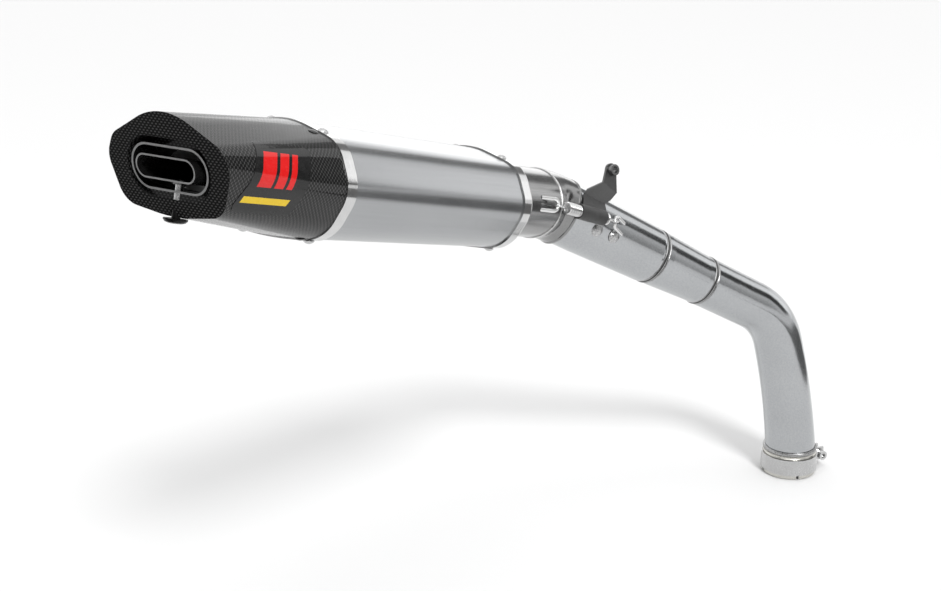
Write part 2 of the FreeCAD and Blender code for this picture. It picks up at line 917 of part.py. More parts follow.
def make_insert():
    """Small slot tube on a baffle plate that fills the outlet tube."""
    wall = D["insert_wall"]
    half_w, half_h = D["insert_half_width"], D["insert_half_height"]
    tube = stadium_pad("insert_outer", half_w, half_h, -400.0, 72.0)
    slanted_plane_cut("insert_slant", tube, -3.2)
    plate = stadium_pad(
        "insert_plate",
        D["outlet_half_width"] - D["outlet_wall"] - 0.2,
        D["outlet_half_height"] - D["outlet_wall"] - 0.2,
        -334.0,
        1.6,
    )
    hole = stadium_pad("insert_hole", half_w - wall, half_h - wall, -410.0, 100.0)
    boss = cylinder(
        "insert_boss",
        "dims.screw_r + 1.6",
        3.4,
        MUFFLER
        * Placement(Vector(D["screw_at"], 0, -D["outlet_drop"] - half_h - 1.6), Rotation()),
    )
    solid = fuse("insert_solid", [tube, plate, boss])
    hollow = cut("insert_hollow", solid, hole)
    thread = cylinder(
        "insert_thread",
        "dims.screw_r",
        10,
        MUFFLER * Placement(Vector(D["screw_at"], 0, -18.0), Rotation()),
    )
    export(cut("noise_insert_cut", hollow, thread), "noise_insert")


def make_screw():
    """Low domed screw through the underside of the cap into the insert."""
    top = -D["outlet_drop"] - D["insert_half_height"] + 0.8
    head_top = -37.7
    profile = [
        (0.0, top - head_top),
        (D["screw_r"] - 0.06, top - head_top),
        (D["screw_r"] - 0.06, 0.0),
        (8.4, 0.0),
        (8.4, -1.0),
        (7.2, -2.4),
        (5.0, -3.2),
        (2.2, -3.4),
        (2.2, -1.6),
        (0.0, -1.6),
    ]
    at = MUFFLER * Placement(Vector(D["screw_at"], 0, head_top), Rotation())
    export(revolved("insert_screw", at, profile), "insert_screw")


def make_core():
    base = MUFFLER * Placement(Vector(-290.0, 0, -D["stub_drop"]), Rotation(Z_AXIS, X_AXIS))
    length = 300.0
    tube = cylinder("core_outer", "dims.core_r", length, base)
    hole = cylinder("core_inner", "dims.core_r - dims.core_wall", length, base)
    hollow = cut("core_tube", tube, hole)
    pins = []
    for rank in range(13):
        for turn in range(4):
            angle = 45.0 * turn + 22.5 * (rank % 2)
            place = base * Placement(Vector(0, 0, 64.0 + 17.0 * rank), Rotation())
            place = place * Placement(Vector(0, 0, 0), Rotation(Z_AXIS, angle))
            place = place * Placement(Vector(-40, 0, 0), Rotation(Z_AXIS, X_AXIS))
            pins.append(Part.makeCylinder(3.2, 80.0).transformed(place.toMatrix()))
    holes = feature("core_holes", Part.makeCompound(pins))
    export(cut("core_cut", hollow, holes), "perforated_core")


make_muffler_shell()
make_front_cap()
make_end_cap()
make_outlet()
make_insert()
make_screw()
make_core()


# ---------------------------------------------------------------- rivets
def rivet_shape(head_r, dome, grip):
    """Domed head on z = 0 with its shank going down through the sheets."""
    sphere_r = (head_r**2 + dome**2) / (2 * dome)
    ball = Part.makeSphere(sphere_r, Vector(0, 0, dome - sphere_r))
    slab = Part.makeCylinder(head_r + 1, dome + 1)
    head = ball.common(slab)
    shank = Part.makeCylinder(1.8, grip, Vector(0, 0, -grip))
    tail = Part.makeCylinder(2.6, 1.2, Vector(0, 0, -grip - 1.2))
    return head.fuse(shank).fuse(tail).removeSplitter()


def top_facet(side):
    """Height and slope of the arched top facet at a distance from the middle."""
    slope = math.atan((D["peak_up"] - D["shoulder_up"]) / D["shoulder_out"])
    radius = D["peak_r"]
    if side < radius * math.tan(slope):
        centre = D["peak_up"] - radius / math.cos(slope)
        return centre + math.sqrt(radius**2 - side**2), math.degrees(math.asin(side / radius))
    return D["peak_up"] - side * math.tan(slope), math.degrees(slope)


def bottom_facet(side):
    slope = math.atan((D["corner_up"] - D["keel_up"]) / D["corner_out"])
    return D["keel_up"] + side * math.tan(slope), math.degrees(slope)


def facet_rivets(name, station, outset, sink, head, grip):
    """Four rivets, two on the top facet and two on the bottom facet."""
    near, far = D["rivet_side"], D["rivet_far_side"]
    shapes = []
    for side, sign in ((-near, 1), (far, 1), (-near, -1), (near, -1)):
        facet = top_facet if sign > 0 else bottom_facet
        height, slope = facet(abs(side))
        lean = Rotation(X_AXIS, -sign * slope * (1 if side > 0 else -1))
        turn = Rotation() if sign > 0 else Rotation(X_AXIS, 180)
        normal = lean.multVec(Vector(0, 0, sign))
        base = Vector(station, side, height - sign * sink) + normal * outset
        place = MUFFLER * Placement(base, lean * turn)
        shapes.append(rivet_shape(head[0], head[1], grip).transformed(place.toMatrix()))
    return export(feature(name, Part.makeCompound(shapes)), name)


def drill(name, rivets):
    """Open the holes that the rivets fill in a sheet that is already exported."""
    names = [label for label, _ in EXPORTS]
    place = names.index(name)
    blank = EXPORTS.pop(place)[1]
    blank.Label = name + "_blank"
    export(cut(name + "_drilled", blank, rivets), name)


def make_rivets():
    middle = D["band_width"] / 2
    band = D["band_wall"]
    grip = band + D["sleeve_wall"] + 1.4
    domed = (D["rivet_r"], D["rivet_dome"])
    flat = (4.0, 1.2)
    front = facet_rivets(
        "front_band_rivets", D["front_band_at"] + middle, band, 0.0, domed, grip
    )
    rear = facet_rivets(
        "rear_band_rivets", D["rear_band_at"] + middle, band, 0.0, domed, grip
    )
    cap = facet_rivets(
        "end_cap_rivets", D["rear_band_at"] - 4.9, 0.4, 0.4, flat, D["cap_wall"]
    )
    for sheet in ("front_band", "muffler_sleeve", "front_cap"):
        drill(sheet, front)
    for sheet in ("rear_band", "muffler_sleeve", "end_cap"):
        drill(sheet, rear)
    drill("end_cap", cap)


make_rivets()


# ---------------------------------------------------------------- band clamp
def make_clamp():
    inner = D["clamp_inner_r"]
    outer = inner + D["clamp_wall"]
    height = D["clamp_height"]
    turn = Rotation(Z_AXIS, D["clamp_lug_deg"])
    base = Placement(Vector(0, 0, D["clamp_bottom"]), turn)
    ring = cut(
        "clamp_ring",
        cylinder("clamp_outer", outer, "dims.clamp_height", base),
        cylinder("clamp_bore", "dims.clamp_inner_r", "dims.clamp_height", base),
    )
    gap = D["clamp_gap"]
    split = box("clamp_split", 20, gap, height, base * Placement(Vector(20, -gap / 2, 0), Rotation()))
    open_ring = cut("clamp_open_ring", ring, split)
    ears = []
    wall = D["clamp_ear_wall"]
    for name, side in (("a", gap / 2), ("b", -gap / 2 - wall)):
        place = base * Placement(Vector(inner + 0.2, side, 1.5), Rotation())
        ears.append(box("clamp_ear_" + name, D["clamp_ear"], wall, height - 3.0, place))
    whole = fuse("clamp_whole", [open_ring] + ears)
    across = base * Placement(
        Vector(D["bolt_radius_out"], -30, height / 2), Rotation(Z_AXIS, Y_AXIS)
    )
    hole = cylinder("clamp_bolt_hole", "dims.bolt_r + 0.05", 60, across)
    export(cut("clamp_band_cut", whole, hole), "clamp_band")

    middle = Placement(
        Vector(D["bolt_radius_out"], 0, height / 2), Rotation(Z_AXIS, Y_AXIS)
    )
    axis = base * middle
    reach = gap / 2 + wall
    head = Part.makeCylinder(5.0, 6.0, Vector(0, 0, -reach - 7.2))
    socket = Part.makeCylinder(2.5, 3.4, Vector(0, 0, -reach - 7.2))
    washer = Part.makeCylinder(6.0, 1.2, Vector(0, 0, -reach - 1.2 - 0.02))
    shank = Part.makeCylinder(D["bolt_r"], 2 * reach + 14.0, Vector(0, 0, -reach - 1.5))
    bolt = head.fuse([washer, shank]).removeSplitter().cut(socket)
    export(feature("clamp_bolt", bolt, axis), "clamp_bolt")

    across_flats = 10.0
    corner = across_flats / math.sqrt(3)
    points = [
        Vector(corner * math.cos(math.radians(60 * i)), corner * math.sin(math.radians(60 * i)), 0)
        for i in range(7)
    ]
    prism = Part.Face(Part.makePolygon(points)).extrude(Vector(0, 0, 6.0))
    flange = Part.makeCylinder(6.2, 1.2)
    bore = Part.makeCylinder(D["bolt_r"] + 0.05, 10.0, Vector(0, 0, -1))
    nut = prism.fuse(flange).cut(bore)
    export(feature("clamp_nut", nut, axis * Placement(Vector(0, 0, reach), Rotation())), "clamp_nut")


make_clamp()


# ---------------------------------------------------------------- hanger bracket
def beside(out, station, up):
    """Point beside the upper pipe: out from its axis, along it, and up from it."""
    return Vector(-up, out, station)


def sheet_plate(points, thickness):
    face = Part.Face(Part.makePolygon(points + [points[0]]))
    normal = face.normalAt(0, 0)
    face.translate(normal * (-thickness / 2))
    return face.extrude(normal * thickness)


def bend_rod(start, end, thickness):
    along = end - start
    return Part.makeCylinder(thickness / 2, along.Length, start, along)


def make_hanger():
    """Folded sheet: a flange welded along the pipe, an arm, and an ear with a bush."""
    thick = D["sheet"]
    out, up = D["fold_from_axis"], D["fold_height"]
    fold_a, fold_b = beside(out, 257.0, up), beside(out, 232.0, up)
    low_a = beside(D["flange_from_axis"], 261.0, D["flange_height"])
    low_b = beside(D["flange_from_axis"], 228.0, D["flange_height"])
    knee_a, knee_b = beside(out, 244.1, 43.4), beside(out, 225.4, 39.6)
    shoulder_a, shoulder_b = beside(out, 255.7, 31.2), beside(out, 228.0, 31.1)
    eye = beside(15.1, 238.0, 56.6)

    flange = sheet_plate([fold_a, fold_b, low_b, low_a], thick)
    arm = sheet_plate([fold_a, fold_b, shoulder_b, knee_b, knee_a, shoulder_a], thick)
    knee = (knee_a - knee_b).normalize()
    rise = eye - knee_b
    ear_normal = knee.cross(rise).normalize()
    if ear_normal.y < 0:
        ear_normal = ear_normal * -1
    side_a = eye + knee * D["ear_r"]
    side_b = eye - knee * D["ear_r"]
    neck = sheet_plate([knee_b, knee_a, side_a, side_b], thick)
    disc = Part.makeCylinder(D["ear_r"], thick, eye - ear_normal * (thick / 2), ear_normal)
    solid = flange.fuse(
        [arm, neck, disc, bend_rod(fold_a, fold_b, thick), bend_rod(knee_a, knee_b, thick)]
    )
    seat = Part.makeCylinder(D["bush_r"], 4 * thick, eye - ear_normal * 2 * thick, ear_normal)
    # the corner next to the slip joint is trimmed clear of the elbow's mouth
    mouth_start = Vector(0, 0, D["cup_mouth_at"] - 1.2)
    mouth_room = Part.makeCylinder(D["stub_r"] + 2.0, 40.0, mouth_start)
    bracket = solid.cut([seat, mouth_room]).removeSplitter()
    export(feature("hanger_bracket", bracket, UPPER), "hanger_bracket")

    near = 1.5 + thick / 2
    at = UPPER * Placement(eye - ear_normal * near, Rotation(Z_AXIS, ear_normal))
    barrel = cylinder("bush_barrel", "dims.bush_r", "dims.bush_length", at)
    bore = cylinder("bush_bore", "dims.ear_bore_r", 40, at * Placement(Vector(0, 0, -5), Rotation()))
    export(cut("bush_cut", barrel, bore), "hanger_bush")

    pipe_hole = Part.makeCylinder(D["slip_end_r"], 200.0, Vector(0, 0, 150.0))
    drop = Vector(0.9, 0.0, 0.0)
    fillet = bend_rod(low_a + drop, low_b + drop, 3.6)
    weld = fillet.cut([pipe_hole, mouth_room, bracket])
    export(feature("bracket_weld", weld, UPPER), "bracket_weld")


# ---------------------------------------------------------------- spring and its lugs
def wire_loop(reach, half_gap, radius):
    """U of round wire: two legs along local X joined by a half turn."""
    leg = reach - half_gap
    start, knee = Vector(0, -half_gap, 0), Vector(leg, -half_gap, 0)
    tip = Vector(reach, 0, 0)
    knee2, end = Vector(leg, half_gap, 0), Vector(0, half_gap, 0)
    spine = Part.Wire(
        [
            Part.LineSegment(start, knee).toShape(),
            Part.Arc(knee, tip, knee2).toShape(),
            Part.LineSegment(knee2, end).toShape(),
        ]
    )
    ring = Part.Wire([Part.makeCircle(radius, start, X_AXIS)])
    return spine.makePipeShell([ring], True, True)


def along_wire(base, direction, across):
    z_dir = direction.cross(across).normalize()
    y_dir = z_dir.cross(direction).normalize()
    return Placement(base, Rotation(direction.normalize(), y_dir, z_dir, "XYZ"))


def make_spring_set():
    gap, wire = D["lug_half_gap"], D["lug_wire_r"]
    drop = D["stub_drop"]
    lean = math.radians(23.3)
    foot = Vector(D["muffler_lug_at"], -30.6, -2.4)
    direction = Vector(math.cos(lean), -math.sin(lean), 0)
    at = MUFFLER * along_wire(foot, direction, Z_AXIS)
    stub = MUFFLER * Placement(Vector(40, 0, -drop), Rotation(Z_AXIS, X_AXIS))
    loop = feature("muffler_lug_wire", wire_loop(D["lug_reach"], gap, wire), at)
    core = cylinder("muffler_lug_core", "dims.stub_r", 120, stub)
    export(cut("muffler_lug_cut", loop, core), "spring_lug_muffler")
    hook_a = at.multVec(Vector(D["lug_reach"], 0, 0))
    wire_a = at.Rotation.multVec(Y_AXIS)

    side = math.radians(22.6)
    foot_r, tip_r = 30.2, 39.0
    foot = beside(foot_r * math.cos(side), D["pipe_lug_at"], foot_r * math.sin(side))
    run = math.sqrt(D["pipe_lug_reach"] ** 2 - (tip_r - foot_r) ** 2)
    tip = beside(tip_r * math.cos(side), D["pipe_lug_at"] + run, tip_r * math.sin(side))
    around = beside(-math.sin(side), 0, math.cos(side))
    at = UPPER * along_wire(foot, tip - foot, around)
    loop = feature("pipe_lug_wire", wire_loop(D["pipe_lug_reach"], gap, wire), at)
    core = doc.addObject("Part::Cone", "pipe_lug_core")
    core.Radius1 = D["upper_joint_r"] + 0.3
    core.Radius2 = D["slip_end_r"]
    core.Height = D["taper_end_at"] - D["upper_joint_at"] - D["joint_width"] / 2 - 3.0
    core.Placement = on_upper_axis(D["upper_joint_at"] + D["joint_width"] / 2 + 3.0)
    pipe_lug = export(cut("pipe_lug_cut", loop, core), "spring_lug_pipe")
    hook_b = at.multVec(Vector(D["pipe_lug_reach"], 0, 0))

    pads = []
    for station, turn in ((211.6, 3.0), (232.0, 0.0)):
        spot = on_upper_axis(station) * Placement(Vector(0, 0, 0), Rotation(Z_AXIS, turn))
        spot = spot * Placement(Vector(0, 24.6, 0), Rotation(Z_AXIS, Y_AXIS))
        ball = Part.makeSphere(8.6).common(Part.makeCylinder(9, 9))
        pads.append(ball.transformed(spot.toMatrix()))
    domes = feature("pad_domes", Part.makeCompound(pads))
    pipe = cylinder("pad_core", D["slip_end_r"] + 0.1, 120, on_upper_axis(160.0))
    bare = cut("pads_bare", domes, pipe)
    export(cut("pads_cut", bare, pipe_lug), "lug_weld_pads")

    # the spring lies between the two wire loops, its eyes round them
    span = hook_b - hook_a
    length = span.Length
    z_dir = span.normalize()
    x_dir = wire_a.cross(z_dir).normalize()
    y_dir = z_dir.cross(x_dir).normalize()
    at = Placement(hook_a, Rotation(x_dir, y_dir, z_dir, "XYZ"))
    wire, radius, eye = D["spring_wire_r"], D["spring_r"], D["hook_r"]
    coil_start = 11.0
    coil_length = length - 2 * coil_start
    turns = round(coil_length / D["spring_pitch"])
    helix = Part.makeHelix(coil_length / turns, coil_length, radius)
    ring = Part.Wire([Part.makeCircle(wire, Vector(radius, 0, 0), Y_AXIS)])
    coil = Part.Wire(helix.Edges).makePipeShell([ring], True, True)
    coil.translate(Vector(0, 0, coil_start))
    pieces = []
    for end, sign in ((0.0, 1.0), (length, -1.0)):
        pieces.append(Part.makeTorus(eye, wire, Vector(0, 0, end), Y_AXIS))
        neck = Vector(0, 0, end + sign * eye)
        turn_in = Vector(0, 0, end + sign * coil_start)
        pieces.append(bend_rod(neck, turn_in, 2 * wire))
        pieces.append(Part.makeSphere(wire, turn_in))
        pieces.append(bend_rod(turn_in, turn_in + Vector(radius, 0, 0), 2 * wire))
        pieces.append(Part.makeSphere(wire, turn_in + Vector(radius, 0, 0)))
    export(feature("spring", coil.fuse(pieces), at), "spring")

    start = at * Placement(Vector(0, 0, D["rubber_start"]), Rotation())
    outer = cylinder("rubber_outer", "dims.rubber_r", "dims.rubber_length", start)
    inner = cylinder(
        "rubber_inner", "dims.spring_r + dims.spring_wire_r + 0.1", "dims.rubber_length", start
    )
    export(cut("rubber_cut", outer, inner), "spring_sleeve")


make_hanger()
make_spring_set()


# ---------------------------------------------------------------- write the parts
doc.recompute()
os.makedirs("parts", exist_ok=True)
for old in os.listdir("parts"):
    os.remove(os.path.join("parts", old))
for name, obj in EXPORTS:
    if "Invalid" in obj.State or "Error" in obj.State:
        raise RuntimeError("%s: %s" % (name, obj.State))
    shape = obj.Shape
    if shape.isNull() or not shape.isValid() or not shape.Solids:
        raise RuntimeError("%s has no valid solid" % name)
    shape.exportStep(os.path.join("parts", name + ".step"))
    print(name, len(shape.Solids), round(shape.Volume, 1))
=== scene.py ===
import json
import math

import bpy
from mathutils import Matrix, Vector


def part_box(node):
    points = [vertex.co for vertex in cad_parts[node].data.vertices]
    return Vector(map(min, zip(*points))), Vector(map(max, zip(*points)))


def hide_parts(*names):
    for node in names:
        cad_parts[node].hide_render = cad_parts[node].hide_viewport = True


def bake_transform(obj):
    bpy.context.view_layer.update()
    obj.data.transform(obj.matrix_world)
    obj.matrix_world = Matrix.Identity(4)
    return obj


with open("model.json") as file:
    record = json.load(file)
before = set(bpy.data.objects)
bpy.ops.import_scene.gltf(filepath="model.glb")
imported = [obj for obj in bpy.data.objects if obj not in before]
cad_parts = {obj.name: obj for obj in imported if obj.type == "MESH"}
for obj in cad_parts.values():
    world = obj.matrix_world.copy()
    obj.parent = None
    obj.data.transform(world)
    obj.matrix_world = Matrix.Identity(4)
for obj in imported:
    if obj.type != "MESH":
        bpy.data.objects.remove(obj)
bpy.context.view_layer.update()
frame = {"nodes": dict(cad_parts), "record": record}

# The muffler's own frame: x runs along it towards its inlet, y across, z up through its top.
MUFFLER_BASE = (-0.3995, 0.1679, 0.37536)
MUFFLER_PITCH = math.radians(15)
MUFFLER_TURN = (0.0, MUFFLER_PITCH, 0.0)
MUFFLER_AXIS = Vector((0.96593, 0.0, -0.25882))
# The straight run of the link pipe, towards the muffler.
SLIP_AXIS = Vector((-0.73564, 0.47773, 0.48022))
UPRIGHT = Vector((0.0, 0.0, 1.0))
NO_TURN = (0.0, 0.0, 0.0)
ORIGIN = (0.0, 0.0, 0.0)

CAMERA_AT = Vector((-1.4615, -0.5170, 0.6909))
CAMERA_LOOKS = Vector((0.8021, 0.5110, -0.3090))
CAMERA_LENS = 57.39
SENSOR_WIDTH = 36.0
VIEW_DEPTH = 50.0
FLOOR_DROP = 0.0005
FLOOR_SIDE = 30.0


# ---------------------------------------------------------------- node helpers

def new_material(name):
    """A material whose Principled shader is ready to wire; returns (material, tree, shader)."""
    material = bpy.data.materials.new(name)
    material.use_nodes = True
    tree = material.node_tree
    return material, tree, tree.nodes["Principled BSDF"]


def set_constants(shader, **values):
    """Sets sockets of the shader by name, with _ for the spaces."""
    for key, value in values.items():
        shader.inputs[key.replace("_", " ")].default_value = value


def even(size):
    """A grain of the same size along every axis."""
    return (size, size, size)


def place(tree, origin=ORIGIN, turn=NO_TURN, grain=(1.0, 1.0, 1.0)):
    """Coordinates in a local frame, in units of grain along each of its axes."""
    coordinates = tree.nodes.new("ShaderNodeTexCoord")
    mapping = tree.nodes.new("ShaderNodeMapping")
    mapping.vector_type = "TEXTURE"
    mapping.inputs["Location"].default_value = origin
    mapping.inputs["Rotation"].default_value = turn
    mapping.inputs["Scale"].default_value = grain
    tree.links.new(coordinates.outputs["Object"], mapping.inputs["Vector"])
    return mapping.outputs["Vector"]


def math_node(tree, operation, first, second=None, third=None):
    """One Math node; each input is a socket or a number."""
    node = tree.nodes.new("ShaderNodeMath")
    node.operation = operation
    for index, value in enumerate((first, second, third)):
        if value is None:
            continue
        if isinstance(value, (int, float)):
            node.inputs[index].default_value = value
        else:
            tree.links.new(value, node.inputs[index])
    return node.outputs[0]


def noise(tree, vector, scale=1.0, detail=4.0, roughness=0.55):
    """Fractal noise over vector, from 0 to 1."""
    node = tree.nodes.new("ShaderNodeTexNoise")
    node.inputs["Scale"].default_value = scale
    node.inputs["Detail"].default_value = detail
    node.inputs["Roughness"].default_value = roughness
    tree.links.new(vector, node.inputs["Vector"])
    return node.outputs["Fac"]


def ramp(tree, factor, stops):
    """A colour ramp; stops are (position, grey or (r, g, b))."""
    node = tree.nodes.new("ShaderNodeValToRGB")
    elements = node.color_ramp.elements
    while len(elements) < len(stops):
        elements.new(0.5)
    for element, (position, colour) in zip(elements, stops):
        element.position = position
        if isinstance(colour, (int, float)):
            colour = (colour, colour, colour)
        element.color = (*colour, 1.0)
    tree.links.new(factor, node.inputs["Fac"])
    return node.outputs["Color"]


def drive(tree, shader, socket, factor, stops):
    """Drives one of the shader's sockets with factor, through a ramp."""
    tree.links.new(ramp(tree, factor, stops), shader.inputs[socket])


def bump(tree, shader, height, distance, strength=1.0):
    """Relief on the shader's surface; distance is its depth in metres."""
    node = tree.nodes.new("ShaderNodeBump")
    node.inputs["Strength"].default_value = strength
    node.inputs["Distance"].default_value = distance
    tree.links.new(height, node.inputs["Height"])
    tree.links.new(node.outputs["Normal"], shader.inputs["Normal"])


def along_muffler(tree, kind, axis):
    """One component, in the muffler's own frame, of the place or the facing.

    kind is "Object" for the place, "Normal" for the facing."""
    coordinates = tree.nodes.new("ShaderNodeTexCoord")
    mapping = tree.nodes.new("ShaderNodeMapping")
    mapping.vector_type = "TEXTURE"
    mapping.inputs["Rotation"].default_value = MUFFLER_TURN
    if kind == "Object":
        mapping.inputs["Location"].default_value = MUFFLER_BASE
    tree.links.new(coordinates.outputs[kind], mapping.inputs["Vector"])
    split = tree.nodes.new("ShaderNodeSeparateXYZ")
    tree.links.new(mapping.outputs["Vector"], split.inputs["Vector"])
    return split.outputs[axis]


def turn_to(axis):
    """The Euler angles that carry +Z onto axis."""
    return tuple(axis.to_track_quat("Z", "Y").to_euler())


# ------------------------------------------------------------------- materials

METAL_PATCHES = (0.11, 0.05, 0.05)


def brushed_metal(
    name, dark, light, grain, rough, origin=ORIGIN, turn=NO_TURN, relief=0.00002
):
    """Metal with a fine grain, over broad soft patches of a slightly different tone."""
    material, tree, shader = new_material(name)
    set_constants(shader, Metallic=1.0)
    lines = noise(tree, place(tree, origin, turn, grain), 1.0, 5.0, 0.6)
    patches = noise(tree, place(tree, origin, turn, METAL_PATCHES), 1.0, 2.0)
    soft = math_node(tree, "MULTIPLY", patches, 0.3)
    blend = math_node(tree, "MULTIPLY_ADD", lines, 0.7, soft)
    drive(tree, shader, "Base Color", blend, [(0.32, dark), (0.68, light)])
    drive(tree, shader, "Roughness", blend, [(0.3, rough[0]), (0.7, rough[1])])
    bump(tree, shader, lines, relief)
    return material


# painted highlight on a rolled ring's proud middle and painted shade in its hollows, by distance from
# the middle
RING_PAINTED_HIGHLIGHT_AND_SHADE = [(0.08, 0.45), (0.26, 0.04), (0.50, 0.08), (0.72, 0.42), (1.0, 0.36)]


def weld_metal(
    name, origin=ORIGIN, axis=None, ripples=60, tones=(0.30, 0.62), groove=None
):
    """A weld bead: overlapping ripples round its axis, or an uneven surface where it has none.

    With groove, its half width, the bead is a rolled ring, with a painted highlight where it stands
    proud and painted shade in the hollows on either side of its middle."""
    material, tree, shader = new_material(name)
    set_constants(shader, Metallic=1.0)
    grit = noise(tree, place(tree, origin, NO_TURN, even(0.0016)), 1.0, 4.0)
    height = grit
    if axis is not None:
        around = tree.nodes.new("ShaderNodeTexGradient")
        around.gradient_type = "RADIAL"
        tree.links.new(place(tree, origin, turn_to(axis)), around.inputs["Vector"])
        turns = math_node(tree, "MULTIPLY", around.outputs["Fac"], float(ripples))
        saw = math_node(tree, "FRACT", turns)
        height = math_node(tree, "MULTIPLY_ADD", grit, 0.35, saw)
    colour = ramp(tree, grit, [(0.3, tones[0]), (0.7, tones[1])])
    if groove is not None:
        split = tree.nodes.new("ShaderNodeSeparateXYZ")
        across = place(tree, origin, turn_to(axis), even(groove))
        tree.links.new(across, split.inputs["Vector"])
        from_middle = math_node(tree, "ABSOLUTE", split.outputs[2])
        offset = math_node(tree, "MULTIPLY_ADD", grit, 0.1, from_middle)
        # painted highlight on the proud middle and painted shade in the hollows either side
        colour = ramp(tree, offset, RING_PAINTED_HIGHLIGHT_AND_SHADE)
    tree.links.new(colour, shader.inputs["Base Color"])
    drive(tree, shader, "Roughness", grit, [(0.3, 0.22), (0.7, 0.42)])
    bump(tree, shader, height, 0.00035)
    return material


def woven_composite(name):
    """Clear-coated plain weave: warp and weft tows cross, and each has its own tone.

    The weave is laid flat on whichever of the end, a side or the top it faces."""
    tow = 0.0017
    side_facing, end_facing = 0.60, 0.72
    material, tree, shader = new_material(name)
    set_constants(
        shader, Coat_Weight=0.55, Coat_Roughness=0.03, Coat_IOR=1.5, Specular_IOR_Level=0.08
    )
    local = place(tree, MUFFLER_BASE, MUFFLER_TURN, even(tow))
    split = tree.nodes.new("ShaderNodeSeparateXYZ")
    tree.links.new(local, split.inputs["Vector"])
    along, across, up = split.outputs

    sideways = math_node(tree, "ABSOLUTE", along_muffler(tree, "Normal", 1))
    endways = math_node(tree, "ABSOLUTE", along_muffler(tree, "Normal", 0))
    is_side = math_node(tree, "GREATER_THAN", sideways, side_facing)
    is_end = math_node(tree, "GREATER_THAN", endways, end_facing)

    def choose(switch, off, on):
        difference = math_node(tree, "SUBTRACT", on, off)
        return math_node(tree, "MULTIPLY_ADD", difference, switch, off)

    u = choose(is_end, along, up)
    v = choose(is_end, choose(is_side, across, up), across)
    warp = math_node(tree, "PINGPONG", u, 0.5)
    weft = math_node(tree, "PINGPONG", v, 0.5)
    cell = math_node(tree, "ADD", math_node(tree, "FLOOR", u), math_node(tree, "FLOOR", v))
    over = math_node(tree, "LESS_THAN", math_node(tree, "FLOORED_MODULO", cell, 2.0), 0.5)
    height = choose(over, weft, warp)
    fibres = noise(tree, place(tree, MUFFLER_BASE, MUFFLER_TURN, even(0.0004)), 1.0, 2.0)
    shade = math_node(tree, "MULTIPLY_ADD", fibres, 0.25, choose(over, 0.10, 0.55))
    crown = math_node(tree, "MULTIPLY_ADD", height, 1.6, 0.2)
    tone = math_node(tree, "MULTIPLY", shade, crown)
    drive(tree, shader, "Base Color", tone, [(0.05, 0.001), (0.25, 0.004), (0.62, 0.060)])
    drive(tree, shader, "Roughness", shade, [(0.1, 0.30), (0.8, 0.48)])
    bump(tree, shader, height, 0.0002, 0.35)
    return material


def dark_gloss(name, dark, light, rough, coat=0.6):
    """Black paint or coating with faint mottling and a worn sheen."""
    material, tree, shader = new_material(name)
    set_constants(shader, Coat_Weight=coat, Coat_Roughness=0.08, Metallic=0.3)
    mottle = noise(tree, place(tree, ORIGIN, NO_TURN, even(0.004)), 1.0, 5.0)
    drive(tree, shader, "Base Color", mottle, [(0.3, dark), (0.7, light)])
    drive(tree, shader, "Roughness", mottle, [(0.3, rough[0]), (0.7, rough[1])])
    bump(tree, shader, mottle, 0.00003)
    return material


def black_tube(name):
    """Glossy black tube whose rearward-facing rim carries a painted highlight, a lighter grey."""
    rim_facing = -0.60
    material, tree, shader = new_material(name)
    set_constants(shader, Coat_Weight=0.5, Coat_Roughness=0.06)
    rearward = along_muffler(tree, "Normal", 0)
    mottle = noise(tree, place(tree, ORIGIN, NO_TURN, even(0.004)), 1.0, 5.0)
    facing = math_node(tree, "MULTIPLY_ADD", mottle, 0.1, rearward)
    # painted highlight: faces turned rearward are painted a lighter grey
    painted_rim_highlight = math_node(tree, "LESS_THAN", facing, rim_facing)
    tone = math_node(tree, "MULTIPLY_ADD", painted_rim_highlight, 0.75, math_node(tree, "MULTIPLY", mottle, 0.25))
    drive(tree, shader, "Base Color", tone, [(0.05, 0.005), (0.2, 0.014), (0.8, 0.16), (0.95, 0.26)])
    drive(tree, shader, "Roughness", mottle, [(0.3, 0.12), (0.7, 0.22)])
    bump(tree, shader, mottle, 0.00003)
    return material


def screw_metal(name, head_end):
    """Satin black head, bright shank above head_end on the muffler's own height."""
    material, tree, shader = new_material(name)
    set_constants(shader, Metallic=1.0)
    height = along_muffler(tree, "Object", 2)
    bright = math_node(tree, "GREATER_THAN", height, head_end)
    grit = noise(tree, place(tree, ORIGIN, NO_TURN, even(0.001)), 1.0, 4.0)
    tone = math_node(tree, "MULTIPLY_ADD", bright, 0.75, math_node(tree, "MULTIPLY", grit, 0.25))
    drive(tree, shader, "Base Color", tone, [(0.05, 0.012), (0.2, 0.03), (0.8, 0.60), (0.95, 0.80)])
    drive(tree, shader, "Roughness", grit, [(0.3, 0.22), (0.7, 0.36)])
    bump(tree, shader, grit, 0.00003)
    return material


def rubber(name):
    """Matt black rubber with a fine skin and a little dust."""
    material, tree, shader = new_material(name)
    set_constants(shader, Sheen_Weight=0.15, Specular_IOR_Level=0.4)
    skin = noise(tree, place(tree, ORIGIN, NO_TURN, even(0.0009)), 1.0, 6.0)
    dust = noise(tree, place(tree, ORIGIN, NO_TURN, even(0.012)), 1.0, 3.0)
    drive(tree, shader, "Base Color", dust, [(0.35, 0.012), (0.75, 0.035)])
    drive(tree, shader, "Roughness", skin, [(0.3, 0.42), (0.7, 0.62)])
    bump(tree, shader, skin, 0.0001)
    return material


